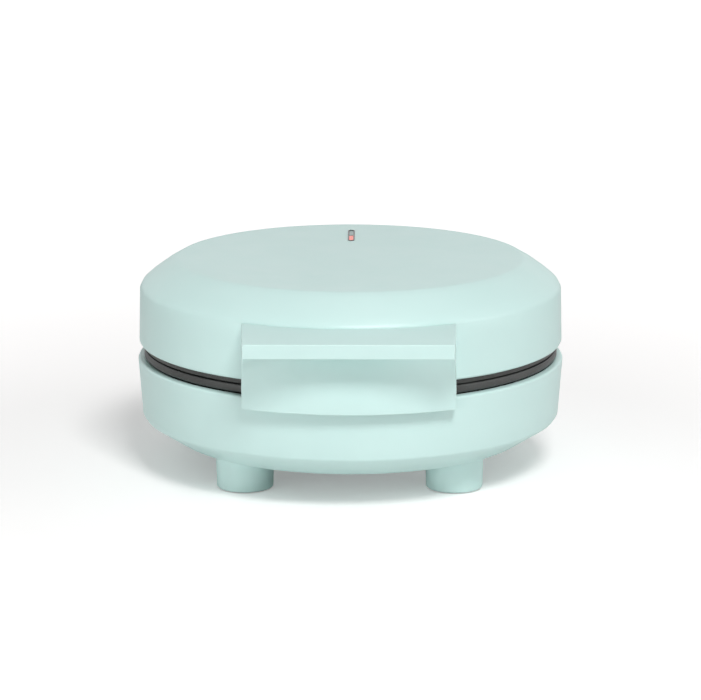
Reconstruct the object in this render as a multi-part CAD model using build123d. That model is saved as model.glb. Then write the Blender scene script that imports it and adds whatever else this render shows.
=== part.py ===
# Bubble waffle maker: a round countertop cooker with a hinged lid, two cast plates with ball shaped
# moulds, a heater behind each plate, and a deep handle on the lid that hangs over the base.
# Millimetres. +Z is up, -Y is the front. The origin is on the table, on the axis of the round body.
from build123d import *
from math import asin, cos, degrees, radians, sin, sqrt
import os

# Round body, outside. The base's rim is the driving radius.
BASE_RIM_RADIUS = 106.0
BASE_BAND_FOOT_RADIUS = BASE_RIM_RADIUS - 2.0
BASE_FLOOR_RADIUS = BASE_RIM_RADIUS - 19.0
LID_RIM_RADIUS = BASE_RIM_RADIUS - 0.6
LID_SHOULDER_RADIUS = LID_RIM_RADIUS - 0.6
LID_TOP_RADIUS = LID_RIM_RADIUS - 19.4
FOOT_HEIGHT = 15.2
BASE_CHAMFER_HEIGHT = 11.8
BASE_BAND_HEIGHT = 28.7
LID_RIM_ABOVE_BASE = 7.8
LID_BAND_HEIGHT = 28.0
LID_CROWN_HEIGHT = 13.5
CROWN_BULGE = 0.9
CROWN_STEPS = (0.08, 0.3, 0.65, 0.96)
SHELL_WALL = 2.6
LID_RIM_WALL = 2.0
BASE_LIP_WIDTH = 4.0
SHOULDER_ROUND = 2.6
TOP_EDGE_ROUND = 1.6
RIM_ROUND = 1.2
PLATE_POCKET_DEPTH = 5.0

# Feet
FOOT_OFFSET = (BASE_FLOOR_RADIUS - 14.6) / sqrt(2)
FOOT_TOP_RADIUS = 14.4
FOOT_BOTTOM_RADIUS = 13.8
FOOT_WALL = 2.6
FOOT_EDGE = 0.6
PAD_RADIUS = 10.4
PAD_THICK = 2.4
PAD_PROUD = 0.5

# Plates
PLATE_RADIUS = LID_RIM_RADIUS - 2.4
PLATE_ABOVE_BASE = 0.7
FLANGE_THICK = 4.0
PLATE_PARTING_GAP = 0.4
PAN_RADIUS = PLATE_RADIUS - 15.0
PAN_DEPTH = 2.5
WEB_THICK = 3.0
BUBBLE_RADIUS = 13.0
BUBBLE_DEPTH = 11.0
BUBBLE_RINGS = 2
BUBBLE_PITCH = (PAN_RADIUS - 22.0) / BUBBLE_RINGS
MOULD_SIDES = 16
MOULD_LAND = 2.0
MOULD_ANGLES = (27.0, 50.0, 73.0)
BUMP_WALL = 2.8
BUMP_END_RADIUS = 9.0
BUMP_HEIGHT = 10.8
PLATE_BOSS_RADIUS = 4.5
PLATE_BOSS_HEIGHT = 19.9
PLATE_SCREW_CIRCLE = PAN_RADIUS - 8.5
PLATE_SCREW_ANGLES = (30, 150, 210, 330)
FLANGE_SCREW_CIRCLE = PAN_RADIUS + 8.0
PLATE_EDGE_ROUND = 0.6

# Heaters, reflectors and thermostats
ELEMENT_RING_RADIUS = BUBBLE_RINGS * BUBBLE_PITCH - 6.0
ELEMENT_TUBE_RADIUS = 3.25
ELEMENT_GAP_ANGLE = 40.0
ELEMENT_PIN_RADIUS = 1.2
TUBE_SIDES = 8
ELEMENT_PIN_LENGTH = 9.0
REFLECTOR_THICK = 0.8
REFLECTOR_FLOOR_RADIUS = PAN_RADIUS - 1.5
REFLECTOR_RIM_RADIUS = PAN_RADIUS + 2.0
REFLECTOR_HEIGHT = 15.0
CLAMP_WIDTH = 8.0
CLAMP_THICK = 1.0
CLAMP_ANGLES = (0, 120, 240)
CLAMP_TAIL = 6.0
CLAMP_SCREW_OFFSET = 2.5
CLAMP_SCREW_BITE = 2.0
THERMOSTAT_RADIUS = 8.0
THERMOSTAT_HEIGHT = 5.5
THERMOSTAT_CAP = 1.2
THERMOSTAT_TAB = (8.0, 6.0, 0.8)

# Fits
SEAT_GAP = 0.1
PART_GAP = 0.05
OVERCUT = 1.0
JOIN = 0.5
SHAFT_UNDERSIZE = 0.01
PIN_CHAMFER = 0.4

# Screws
SCREW_RADIUS = 1.9
SCREW_HOLE_CLEARANCE = 0.3
SCREW_BITE_CLEARANCE = 0.1
SCREW_HEAD_RADIUS = 3.6
SCREW_HEAD_HEIGHT = 2.4
PILLAR_RADIUS = 5.2
LID_POST_RADIUS = 4.4
LID_POST_RISE = 4.0
SMALL_SCREW_RADIUS = 1.4
SMALL_HEAD_RADIUS = 2.6
SMALL_HEAD_HEIGHT = 1.6
SCREW_BITE = 9.0

# Hinge at the back
HINGE_Y = BASE_RIM_RADIUS + 10.0
KNUCKLE_RADIUS = 9.0
HINGE_TONGUE_WIDTH = 57.0
HINGE_EAR_WIDTH = 9.5
HINGE_SIDE_GAP = 0.5
HINGE_APRON_GAP = 0.4
PIN_RADIUS = 3.0
PIN_RUNNING_GAP = 0.05
PIN_BITE = 14.0
HINGE_BLOCK_DROP = 22.0
HINGE_NECK_RISE = 18.0
HINGE_NECK_STEP = 2.0
STOP_RADIUS = 10.24
STOP_MARGIN = 3.0
LID_OPEN_ANGLE = 92.0

# Handle
HANDLE_ROOT_WIDTH = 101.6
HANDLE_LIP_WIDTH = 98.8
HANDLE_REACH = HINGE_Y + KNUCKLE_RADIUS
HANDLE_TOP_DROP = 3.5
HANDLE_LIP_HEIGHT = 6.9
HANDLE_SKIRT_RADIUS = BASE_RIM_RADIUS + 5.4
HANDLE_SKIRT_WALL = 3.0
HANDLE_SKIRT_LAP = 4.8
HANDLE_EDGE_ROUND = 1.2
HANDLE_SEAT_GAP = 0.15
SCOOP_SECTIONS = 9
SCOOP_DEPTH = 15.0
SCOOP_END_DEPTH = 0.6
SCOOP_SPREAD = 2.6
HANDLE_SCREW_ANGLES = (-108, -72)
HANDLE_SCREW_LENGTH = 12.0

# Signal lamps in the lid
WINDOW_Y = LID_TOP_RADIUS - 32.4
WINDOW_LENGTH = 28.2
WINDOW_WIDTH = 3.4
BEZEL_WALL = 0.6
BEZEL_PROUD = 0.3
BEZEL_FLANGE_GROWTH = 2.4
BEZEL_FLANGE_THICK = 1.2
LENS_SINK = 0.3
LENS_DIVIDER = 1.2
LAMP_RADIUS = 2.4
LAMP_HEIGHT = 8.0
LAMP_SPACING = 14.0
HOLDER_SIZE = (24.0, 32.0, 9.0)

# Mains entry, wiring and vents
CORD_ANGLE = 62.0
CORD_DROP = 15.0
CORD_BOSS_RADIUS = 10.0
CORD_BOSS_PROUD = 2.0
GLAND_RADIUS = 6.0
GLAND_BORE_RADIUS = 3.6
GLAND_FLANGE_RADIUS = 8.2
GLAND_FLANGE_THICK = 2.0
GLAND_DEPTH = 9.0
WIRE_RADIUS = 1.1
LEAD_TURN = 3.5
WIRE_HOLE_RADIUS = 11.0
TERMINAL_SIZE = (30.0, 11.0, 9.0)
TERMINAL_Y = ELEMENT_RING_RADIUS
TERMINAL_COUNT = 3
FUSE_RADIUS = 2.2
FUSE_LENGTH = 12.0
VENT_LENGTH = 24.0
VENT_WIDTH = 3.0
VENT_PITCH = 9.0
VENT_COUNT = 5

# Heights that follow
FLOOR_Z = FOOT_HEIGHT
BAND_FOOT_Z = FLOOR_Z + BASE_CHAMFER_HEIGHT
BASE_RIM_Z = BAND_FOOT_Z + BASE_BAND_HEIGHT
LID_RIM_Z = BASE_RIM_Z + LID_RIM_ABOVE_BASE
SHOULDER_Z = LID_RIM_Z + LID_BAND_HEIGHT
TOP_Z = SHOULDER_Z + LID_CROWN_HEIGHT
LOWER_FLANGE_Z = BASE_RIM_Z + PLATE_ABOVE_BASE
PARTING_Z = LOWER_FLANGE_Z + FLANGE_THICK + PLATE_PARTING_GAP / 2
HINGE_Z = (BASE_RIM_Z + LID_RIM_Z) / 2
CEILING_Z = TOP_Z - SHELL_WALL

# Plate heights measured down from its mating face
WEB_FACE = PAN_DEPTH
WEB_BACK = WEB_FACE + WEB_THICK
BUMP_END = WEB_BACK + BUMP_HEIGHT
BOSS_END = WEB_BACK + PLATE_BOSS_HEIGHT
REFLECTOR_TOP = BOSS_END + SEAT_GAP
REFLECTOR_BACK = REFLECTOR_TOP + REFLECTOR_THICK
LOWER_FACE_Z = PARTING_Z - PLATE_PARTING_GAP / 2
UPPER_FACE_Z = PARTING_Z + PLATE_PARTING_GAP / 2
PILLAR_TOP_Z = LOWER_FACE_Z - REFLECTOR_BACK - SEAT_GAP


def revolved(points):
    """A turned solid from an outline of (radius, height) points."""
    outline = Polyline([(r, 0, z) for r, z in points], close=True)
    return revolve(make_face(outline), Axis.Z, 360)


def disc(radius, low, high, x=0.0, y=0.0):
    """An upright cylinder between two heights."""
    return Pos(x, y, low) * Cylinder(radius, high - low, align=(Align.CENTER, Align.CENTER, Align.MIN))


def cone(low_radius, high_radius, low, high, x=0.0, y=0.0):
    """An upright cone frustum between two heights."""
    return Pos(x, y, low) * Cone(
        low_radius, high_radius, high - low, align=(Align.CENTER, Align.CENTER, Align.MIN)
    )


def block(low, high):
    """A box between two corners."""
    size = [b - a for a, b in zip(low, high)]
    return Pos(*low) * Box(*size, align=(Align.MIN, Align.MIN, Align.MIN))


def polar(radius, angle):
    """A point on a circle about the body's axis."""
    return radius * cos(radians(angle)), radius * sin(radians(angle))


def side_extrusion(points, x_low, x_high):
    """A YZ outline pushed along X."""
    face = make_face(Polyline([(x_low, y, z) for y, z in points], close=True))
    return extrude(face, amount=x_high - x_low, dir=(1, 0, 0))


def along_x(radius, x_low, x_high, y, z):
    """A cylinder that lies along X."""
    return Pos((x_low + x_high) / 2, y, z) * Rot(0, 90, 0) * Cylinder(radius, x_high - x_low)


# Base housing: a moulded bowl with four hollow feet, four pillars, a flat lip and the hinge ears.
def base_outside():
    return revolved(
        [
            (0, FLOOR_Z),
            (BASE_FLOOR_RADIUS - 2 * RIM_ROUND, FLOOR_Z),
            (BASE_FLOOR_RADIUS + RIM_ROUND, FLOOR_Z + RIM_ROUND),
            (BASE_BAND_FOOT_RADIUS - RIM_ROUND, BAND_FOOT_Z - RIM_ROUND),
            (BASE_BAND_FOOT_RADIUS, BAND_FOOT_Z + RIM_ROUND / 2),
            (BASE_RIM_RADIUS, BASE_RIM_Z - RIM_ROUND),
            (BASE_RIM_RADIUS - RIM_ROUND / 3, BASE_RIM_Z - RIM_ROUND / 3),
            (BASE_RIM_RADIUS - RIM_ROUND, BASE_RIM_Z),
            (0, BASE_RIM_Z),
        ]
    )


def base_inside():
    lip = BASE_RIM_RADIUS - BASE_LIP_WIDTH
    return revolved(
        [
            (0, FLOOR_Z + SHELL_WALL),
            (BASE_FLOOR_RADIUS - SHELL_WALL / 2, FLOOR_Z + SHELL_WALL),
            (BASE_BAND_FOOT_RADIUS - SHELL_WALL, BAND_FOOT_Z + SHELL_WALL / 2),
            (lip, BASE_RIM_Z - BASE_LIP_WIDTH),
            (lip, BASE_RIM_Z + OVERCUT),
            (0, BASE_RIM_Z + OVERCUT),
        ]
    )


def foot_places():
    return [(sx * FOOT_OFFSET, sy * FOOT_OFFSET) for sy in (-1, 1) for sx in (-1, 1)]


def base_hinge_block():
    """Two ears on one apron. The channel between the ears takes the lid's knuckle."""
    half = HINGE_TONGUE_WIDTH / 2 + HINGE_SIDE_GAP
    wall_y = BASE_BAND_FOOT_RADIUS - 2 * SHELL_WALL
    low = HINGE_Z - HINGE_BLOCK_DROP
    back = HINGE_Y + KNUCKLE_RADIUS
    outline = [
        (wall_y, low),
        (BASE_BAND_FOOT_RADIUS + OVERCUT, low),
        (back, HINGE_Z - KNUCKLE_RADIUS),
        (back, HINGE_Z),
        (HINGE_Y - KNUCKLE_RADIUS, HINGE_Z),
        (HINGE_Y - KNUCKLE_RADIUS, BASE_RIM_Z - RIM_ROUND),
        (wall_y, BASE_RIM_Z - RIM_ROUND),
    ]
    ear_end = half + HINGE_EAR_WIDTH
    ears = side_extrusion(outline, -ear_end, ear_end)
    ears += along_x(KNUCKLE_RADIUS, -ear_end, ear_end, HINGE_Y, HINGE_Z)
    apron_top = HINGE_Z - KNUCKLE_RADIUS - HINGE_APRON_GAP
    channel_y = BASE_RIM_RADIUS - RIM_ROUND
    return ears - block((-half, channel_y, apron_top), (half, back + OVERCUT, HINGE_Z + 2 * KNUCKLE_RADIUS))


def pillar_places():
    return [polar(PLATE_SCREW_CIRCLE, a) for a in PLATE_SCREW_ANGLES]


def cord_frame():
    """The flat face that the cord comes out of: its own Z points outwards."""
    share = 1 - CORD_DROP / BASE_BAND_HEIGHT
    wall = BASE_BAND_FOOT_RADIUS + (BASE_RIM_RADIUS - BASE_BAND_FOOT_RADIUS) * share
    x, y = polar(wall + CORD_BOSS_PROUD, CORD_ANGLE)
    return Plane(origin=(x, y, BASE_RIM_Z - CORD_DROP), x_dir=(0, 0, 1), z_dir=(x, y, 0))


def peg(place, radius, low, high):
    """A cylinder on a plane, between two distances along its normal."""
    return place * Pos(0, 0, (low + high) / 2) * Cylinder(radius, high - low)


def make_base_housing():
    shell = base_outside()
    for x, y in foot_places():
        foot = cone(FOOT_BOTTOM_RADIUS, FOOT_TOP_RADIUS, PAD_PROUD, FLOOR_Z + BASE_CHAMFER_HEIGHT / 2, x, y)
        shell += chamfer(foot.edges().group_by(Axis.Z)[0], FOOT_EDGE)
    shell += base_hinge_block()
    shell += peg(cord_frame(), CORD_BOSS_RADIUS, -3 * SHELL_WALL, 0)
    shell -= base_inside()
    for x, y in foot_places():
        shell -= disc(FOOT_BOTTOM_RADIUS - FOOT_WALL, PAD_THICK + FOOT_WALL, FLOOR_Z + 2 * SHELL_WALL, x, y)
        shell -= disc(PAD_RADIUS, 0, PAD_THICK, x, y)
    for x, y in pillar_places():
        shell += disc(PILLAR_RADIUS, FLOOR_Z + SHELL_WALL / 2, PILLAR_TOP_Z, x, y)
    for x, y in pillar_places():
        shell -= disc(SCREW_RADIUS + SCREW_HOLE_CLEARANCE, 0, PILLAR_TOP_Z + OVERCUT, x, y)
        shell -= disc(SCREW_HEAD_RADIUS + SCREW_HOLE_CLEARANCE, 0, FLOOR_Z + SCREW_HEAD_HEIGHT, x, y)
    for i in range(VENT_COUNT):
        y = (i - (VENT_COUNT - 1) / 2) * VENT_PITCH
        vent = extrude(SlotOverall(VENT_LENGTH, VENT_WIDTH), 2 * SHELL_WALL)
        shell -= Pos(0, y, FLOOR_Z - SHELL_WALL / 2) * vent
    shell -= peg(cord_frame(), GLAND_RADIUS, -GLAND_DEPTH - OVERCUT, OVERCUT)
    for x0, x1 in pin_spans():
        shell -= along_x(PIN_RADIUS, x0 - OVERCUT, x1 + OVERCUT, HINGE_Y, HINGE_Z)
    return shell


def pin_spans():
    """The X spans of the two hinge pins, left and right."""
    half = HINGE_TONGUE_WIDTH / 2
    inner = half - PIN_BITE
    outer = half + HINGE_SIDE_GAP + HINGE_EAR_WIDTH
    return [(-outer, -inner), (inner, outer)]


def make_hinge_pins():
    """Plain steel pins, pressed into the base's ears and running in the lid's knuckle."""
    pins = [along_x(PIN_RADIUS - SHAFT_UNDERSIZE, x0, x1, HINGE_Y, HINGE_Z) for x0, x1 in pin_spans()]
    return [chamfer(pin.edges().filter_by(GeomType.CIRCLE), PIN_CHAMFER) for pin in pins]


def make_foot_pads():
    pads = []
    for x, y in foot_places():
        pad = disc(PAD_RADIUS - PART_GAP, 0, PAD_THICK - PART_GAP, x, y)
        pads.append(chamfer(pad.edges().group_by(Axis.Z)[0], PAD_PROUD / 2))
    return pads


def make_cord_gland():
    """A flanged sleeve that is snapped into the wall. It holds the cord, which is left out."""
    gland = peg(cord_frame(), GLAND_RADIUS - PART_GAP, -GLAND_DEPTH, 0)
    flange = peg(cord_frame(), GLAND_FLANGE_RADIUS, PART_GAP, GLAND_FLANGE_THICK)
    rim = flange.edges().filter_by(GeomType.CIRCLE).sort_by_distance(Vector(0, 0, BASE_RIM_Z))[-1]
    gland += chamfer(rim, GLAND_FLANGE_THICK / 2)
    gland += peg(cord_frame(), GLAND_RADIUS - PART_GAP, -JOIN, JOIN)
    return gland - peg(cord_frame(), GLAND_BORE_RADIUS, -GLAND_DEPTH - OVERCUT, GLAND_FLANGE_THICK + OVERCUT)


# Plates: aluminium castings with ball shaped moulds. Built face up with the face at height 0.
def bubble_places():
    """A honeycomb of moulds: one in the middle and rings of them around it."""
    places = []
    for i in range(-BUBBLE_RINGS, BUBBLE_RINGS + 1):
        for j in range(-BUBBLE_RINGS, BUBBLE_RINGS + 1):
            if abs(i + j) <= BUBBLE_RINGS:
                x = BUBBLE_PITCH * (i + j / 2)
                y = BUBBLE_PITCH * j * sqrt(3) / 2
                places.append((x, y))
    return places


def many_sided(rings):
    """A solid with flat faces, through many sided rings given as (radius, height) from end to end."""
    turns = [360 * k / MOULD_SIDES for k in range(MOULD_SIDES)]
    loops = [[Vector(*polar(r, turn), z) for turn in turns] for r, z in rings]
    faces = [Face(Wire.make_polygon(loop, close=True)) for loop in (loops[0], loops[-1])]
    for low, high in zip(loops, loops[1:]):
        for k in range(MOULD_SIDES):
            corners = [low[k - 1], low[k], high[k], high[k - 1]]
            faces.append(Face(Wire.make_polygon(corners, close=True)))
    return Solid(Shell(faces))


def mould():
    """One ball shaped cavity, as a cup of few flat faces whose corners lie on the ball."""
    centre = BUBBLE_RADIUS - BUBBLE_DEPTH - WEB_FACE
    rings = [(BUBBLE_RADIUS, OVERCUT - WEB_FACE), (BUBBLE_RADIUS, centre - MOULD_LAND)]
    for angle in MOULD_ANGLES:
        rings.append((BUBBLE_RADIUS * cos(radians(angle)), centre - BUBBLE_RADIUS * sin(radians(angle))))
    return many_sided(rings)


def plate_blank():
    flange = disc(PLATE_RADIUS, -FLANGE_THICK, 0)
    plate = chamfer(flange.edges().filter_by(GeomType.CIRCLE), PLATE_EDGE_ROUND)
    plate += disc(PAN_RADIUS + WEB_THICK, -WEB_BACK, -FLANGE_THICK + JOIN)
    plate -= cone(PAN_RADIUS - PAN_DEPTH / 2, PAN_RADIUS, -WEB_FACE, 0)
    back = many_sided([(BUMP_END_RADIUS, -BUMP_END), (BUBBLE_RADIUS + BUMP_WALL, -WEB_BACK + JOIN)])
    plate += [Pos(x, y) * back for x, y in bubble_places()]
    for x, y in pillar_places():
        plate += disc(PLATE_BOSS_RADIUS, -BOSS_END, -WEB_BACK + JOIN, x, y)
    cavity = mould()
    plate -= [Pos(x, y) * cavity for x, y in bubble_places()]
    for x, y in pillar_places():
        plate -= disc(SCREW_RADIUS + SCREW_BITE_CLEARANCE, -BOSS_END, -BOSS_END + SCREW_BITE + OVERCUT, x, y)
    return plate


def clamp_places():
    """Clamp screws bite into the outer corners' mould backs."""
    return [polar(BUBBLE_RINGS * BUBBLE_PITCH + CLAMP_SCREW_OFFSET, a) for a in CLAMP_ANGLES]


def make_plate_face_up():
    plate = plate_blank()
    for x, y in clamp_places():
        hole_end = -BUMP_END + CLAMP_SCREW_BITE + SEAT_GAP
        plate -= disc(SMALL_SCREW_RADIUS + SCREW_BITE_CLEARANCE, -BUMP_END, hole_end, x, y)
    return plate


def flange_screw_places():
    return [polar(FLANGE_SCREW_CIRCLE, a) for a in PLATE_SCREW_ANGLES]


def to_lower(shapes):
    """From the face up frame to the lower plate's place."""
    return place(Pos(0, 0, LOWER_FACE_Z), shapes)


def to_upper(shapes):
    """Turns the face up frame over, about Y, onto the upper plate's place."""
    return place(Pos(0, 0, UPPER_FACE_Z) * Rot(0, 180, 0), shapes)


def place(location, shapes):
    """Moves one shape, or each of a list."""
    return [location * s for s in shapes] if isinstance(shapes, list) else location * shapes


def make_lower_plate():
    return to_lower(make_plate_face_up())


def make_upper_plate():
    """As the lower plate, and with countersunk holes in its flange."""
    plate = make_plate_face_up()
    for x, y in flange_screw_places():
        plate -= disc(SCREW_RADIUS + SCREW_HOLE_CLEARANCE, -2 * FLANGE_THICK, OVERCUT, x, y)
        plate -= cone(SCREW_RADIUS, SCREW_HEAD_RADIUS + PART_GAP, -SCREW_HEAD_HEIGHT, 0, x, y)
    return to_upper(plate)


# Heater: a sheathed ring that lies on the backs of the outer moulds, with a pin at each end.
def element_level():
    return -BUMP_END - SEAT_GAP - ELEMENT_TUBE_RADIUS


def element_arc():
    start = 90 + ELEMENT_GAP_ANGLE / 2
    turn = 360 - ELEMENT_GAP_ANGLE
    return Pos(0, 0, element_level()) * CenterArc((0, 0), ELEMENT_RING_RADIUS, start, turn)


def element_end(at):
    """Plane at one end of the heater, with Z pointing away from its tube."""
    arc = element_arc()
    return Plane(origin=arc @ at, z_dir=(arc % at) * (1 if at else -1))


def make_element():
    arc = element_arc()
    section = Plane(origin=arc @ 0, z_dir=arc % 0) * RegularPolygon(ELEMENT_TUBE_RADIUS, TUBE_SIDES)
    body = sweep(section, path=arc)
    for at in (0, 1):
        body += peg(element_end(at), ELEMENT_PIN_RADIUS, -JOIN, ELEMENT_PIN_LENGTH)
    return body


def make_clamps():
    """Straps that hold the heater against the mould backs."""
    under = -BUMP_END - SEAT_GAP - 2 * ELEMENT_TUBE_RADIUS - SEAT_GAP
    outer = ELEMENT_RING_RADIUS + ELEMENT_TUBE_RADIUS + SEAT_GAP
    tail = BUBBLE_RINGS * BUBBLE_PITCH + CLAMP_TAIL
    inner = ELEMENT_RING_RADIUS - ELEMENT_TUBE_RADIUS / 2
    top = -BUMP_END - SEAT_GAP
    outline = [
        (inner, under),
        (outer, under),
        (outer, top),
        (tail, top),
        (tail, top - CLAMP_THICK),
        (outer + CLAMP_THICK, top - CLAMP_THICK),
        (outer + CLAMP_THICK, under - CLAMP_THICK),
        (inner, under - CLAMP_THICK),
    ]
    face = make_face(Polyline([(r, -CLAMP_WIDTH / 2, z) for r, z in outline], close=True))
    strap = extrude(face, amount=CLAMP_WIDTH, dir=(0, 1, 0))
    x = clamp_places()[0][0]
    hole_radius = SMALL_SCREW_RADIUS + SCREW_HOLE_CLEARANCE
    strap -= disc(hole_radius, top - CLAMP_THICK - OVERCUT, top + OVERCUT, x, 0)
    return [Rot(0, 0, a) * strap for a in CLAMP_ANGLES]


def make_clamp_screws():
    top = -BUMP_END - SEAT_GAP - CLAMP_THICK - PART_GAP
    screws = []
    for x, y in clamp_places():
        head = disc(SMALL_HEAD_RADIUS, top - SMALL_HEAD_HEIGHT, top, x, y)
        screws.append(head + disc(SMALL_SCREW_RADIUS, top, -BUMP_END + CLAMP_SCREW_BITE, x, y))
    return screws


def make_reflector():
    wall = REFLECTOR_THICK
    rim = -REFLECTOR_TOP + REFLECTOR_HEIGHT
    pan = revolved(
        [
            (0, -REFLECTOR_BACK),
            (REFLECTOR_FLOOR_RADIUS, -REFLECTOR_BACK),
            (REFLECTOR_RIM_RADIUS, rim),
            (REFLECTOR_RIM_RADIUS - wall, rim),
            (REFLECTOR_FLOOR_RADIUS - wall, -REFLECTOR_TOP),
            (0, -REFLECTOR_TOP),
        ]
    )
    low = -REFLECTOR_BACK - OVERCUT
    high = -REFLECTOR_TOP + OVERCUT
    for x, y in pillar_places():
        pan -= disc(SCREW_RADIUS + SCREW_HOLE_CLEARANCE, low, high, x, y)
    return pan - disc(WIRE_HOLE_RADIUS, low, high, 0, ELEMENT_RING_RADIUS)


def make_thermostat():
    """A round snap switch on the back of the middle mould, with two spade tabs."""
    top = -BUMP_END - SEAT_GAP
    low = top - THERMOSTAT_HEIGHT
    length, width, thick = THERMOSTAT_TAB
    body = disc(THERMOSTAT_RADIUS, low, top - THERMOSTAT_CAP)
    body += disc(THERMOSTAT_RADIUS - THERMOSTAT_CAP, top - THERMOSTAT_CAP, top)
    reach = THERMOSTAT_RADIUS - JOIN + length
    return body + block((-reach, -width / 2, low), (reach, width / 2, low + thick))


def make_thermal_fuse():
    """A fuse barrel that lies on the back of an inner mould."""
    level = -BUMP_END - SEAT_GAP - FUSE_RADIUS
    return Pos(-BUBBLE_PITCH, 0, level) * Rot(90, 0, 0) * Cylinder(FUSE_RADIUS, FUSE_LENGTH)


# Screws
def make_base_screws():
    """From under the base, through pillar and reflector, into the lower plate's bosses."""
    seat = FLOOR_Z + SCREW_HEAD_HEIGHT - PART_GAP
    tip = LOWER_FACE_Z - BOSS_END + SCREW_BITE
    screws = []
    for x, y in pillar_places():
        head = disc(SCREW_HEAD_RADIUS, seat - SCREW_HEAD_HEIGHT, seat, x, y)
        screws.append(head + disc(SCREW_RADIUS, seat, tip, x, y))
    return screws


def make_reflector_screws():
    """They hold the upper reflector on its plate's bosses."""
    top = -REFLECTOR_BACK - PART_GAP
    screws = []
    for x, y in pillar_places():
        head = disc(SCREW_HEAD_RADIUS, top - SCREW_HEAD_HEIGHT, top, x, y)
        screws.append(head + disc(SCREW_RADIUS, top, -BOSS_END + SCREW_BITE, x, y))
    return screws


def make_flange_screws():
    """Countersunk screws through the upper plate's flange into the lid's posts."""
    screws = []
    for x, y in flange_screw_places():
        head = cone(SCREW_RADIUS, SCREW_HEAD_RADIUS, -SCREW_HEAD_HEIGHT, -PART_GAP, x, y)
        screws.append(head + disc(SCREW_RADIUS, -FLANGE_THICK - SCREW_BITE, -SCREW_HEAD_HEIGHT, x, y))
    return screws


# Wiring in the base: a terminal block, and a lead from each heater pin down to it.
def make_terminal_block():
    length, width, height = TERMINAL_SIZE
    low = FLOOR_Z + SHELL_WALL
    front = TERMINAL_Y - width / 2
    body = block((-length / 2, front, low), (length / 2, front + width, low + height))
    for i in range(TERMINAL_COUNT):
        x = (i - (TERMINAL_COUNT - 1) / 2) * length / TERMINAL_COUNT
        body -= disc(2 * WIRE_RADIUS, low + height / 2, low + height + OVERCUT, x, TERMINAL_Y)
    return body


def lead(at, low):
    """A lead that is crimped on a heater pin and drops through the reflector's hole."""
    end = element_end(at)
    start = end.from_local_coords(Vector(0, 0, ELEMENT_PIN_LENGTH + PART_GAP))
    turn = end.from_local_coords(Vector(0, 0, ELEMENT_PIN_LENGTH + LEAD_TURN))
    path = FilletPolyline(start, turn, (turn.X, ELEMENT_RING_RADIUS, low), radius=2 * WIRE_RADIUS)
    return sweep(Plane(origin=start, z_dir=path % 0) * RegularPolygon(WIRE_RADIUS, TUBE_SIDES), path=path)


def make_base_leads():
    top = FLOOR_Z + SHELL_WALL + TERMINAL_SIZE[2]
    return to_lower([lead(at, top + PART_GAP - LOWER_FACE_Z) for at in (0, 1)])


def make_lid_leads():
    top = CEILING_Z - BEZEL_FLANGE_THICK - HOLDER_SIZE[2]
    return to_upper([lead(at, UPPER_FACE_Z - top + PART_GAP) for at in (0, 1)])


# Lid housing: a moulded dome with four pillars, the hinge knuckle and the lamp window.
def crown_points():
    """The crown's slope from shoulder to flat top, bowed outwards by CROWN_BULGE."""
    drop = (LID_SHOULDER_RADIUS - LID_TOP_RADIUS, LID_CROWN_HEIGHT)
    length = sqrt(drop[0] ** 2 + drop[1] ** 2)
    points = []
    for share in CROWN_STEPS:
        bow = 4 * CROWN_BULGE * share * (1 - share)
        r = LID_SHOULDER_RADIUS - drop[0] * share + bow * drop[1] / length
        points.append((r, SHOULDER_Z + drop[1] * share + bow * drop[0] / length))
    return points


def lid_outside():
    return revolved(
        [
            (0, LID_RIM_Z),
            (LID_RIM_RADIUS - RIM_ROUND, LID_RIM_Z),
            (LID_RIM_RADIUS - RIM_ROUND / 3, LID_RIM_Z + RIM_ROUND / 3),
            (LID_RIM_RADIUS, LID_RIM_Z + RIM_ROUND),
            (LID_SHOULDER_RADIUS, SHOULDER_Z - SHOULDER_ROUND / 2),
            *crown_points(),
            (LID_TOP_RADIUS - TOP_EDGE_ROUND, TOP_Z),
            (0, TOP_Z),
        ]
    )


def lid_wall_inside(z):
    """The inner radius of the lid's upright wall at a height."""
    share = (z - LID_RIM_Z) / LID_BAND_HEIGHT
    return LID_RIM_RADIUS + (LID_SHOULDER_RADIUS - LID_RIM_RADIUS) * share - SHELL_WALL


def lid_inside():
    pocket = LID_RIM_RADIUS - LID_RIM_WALL
    step = LID_RIM_Z + PLATE_POCKET_DEPTH
    bend = SHOULDER_Z - SHELL_WALL / 2
    return revolved(
        [
            (0, LID_RIM_Z - OVERCUT),
            (pocket, LID_RIM_Z - OVERCUT),
            (pocket, step),
            (lid_wall_inside(step), step),
            (lid_wall_inside(bend), bend),
            (LID_TOP_RADIUS - SHELL_WALL / 2, TOP_Z - SHELL_WALL),
            (0, TOP_Z - SHELL_WALL),
        ]
    )


def tongue_outline():
    """The neck that carries the lid's knuckle. Its back corner meets the apron at full opening."""
    stop_from_down = degrees(asin((KNUCKLE_RADIUS + HINGE_APRON_GAP) / STOP_RADIUS))
    stop = radians(LID_OPEN_ANGLE + STOP_MARGIN - stop_from_down)
    wall_y = LID_RIM_RADIUS - 3 * SHELL_WALL
    low = LID_RIM_Z + RIM_ROUND
    dip = sqrt(KNUCKLE_RADIUS**2 - (low - HINGE_Z) ** 2)
    return [
        (wall_y, low),
        (HINGE_Y - dip, low),
        (HINGE_Y, HINGE_Z),
        (HINGE_Y + KNUCKLE_RADIUS * cos(stop / 2), HINGE_Z + KNUCKLE_RADIUS * sin(stop / 2)),
        (HINGE_Y + STOP_RADIUS * cos(stop), HINGE_Z + STOP_RADIUS * sin(stop)),
        (HINGE_Y, HINGE_Z + KNUCKLE_RADIUS + HINGE_NECK_STEP),
        (wall_y, HINGE_Z + HINGE_NECK_RISE),
    ]


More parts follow.
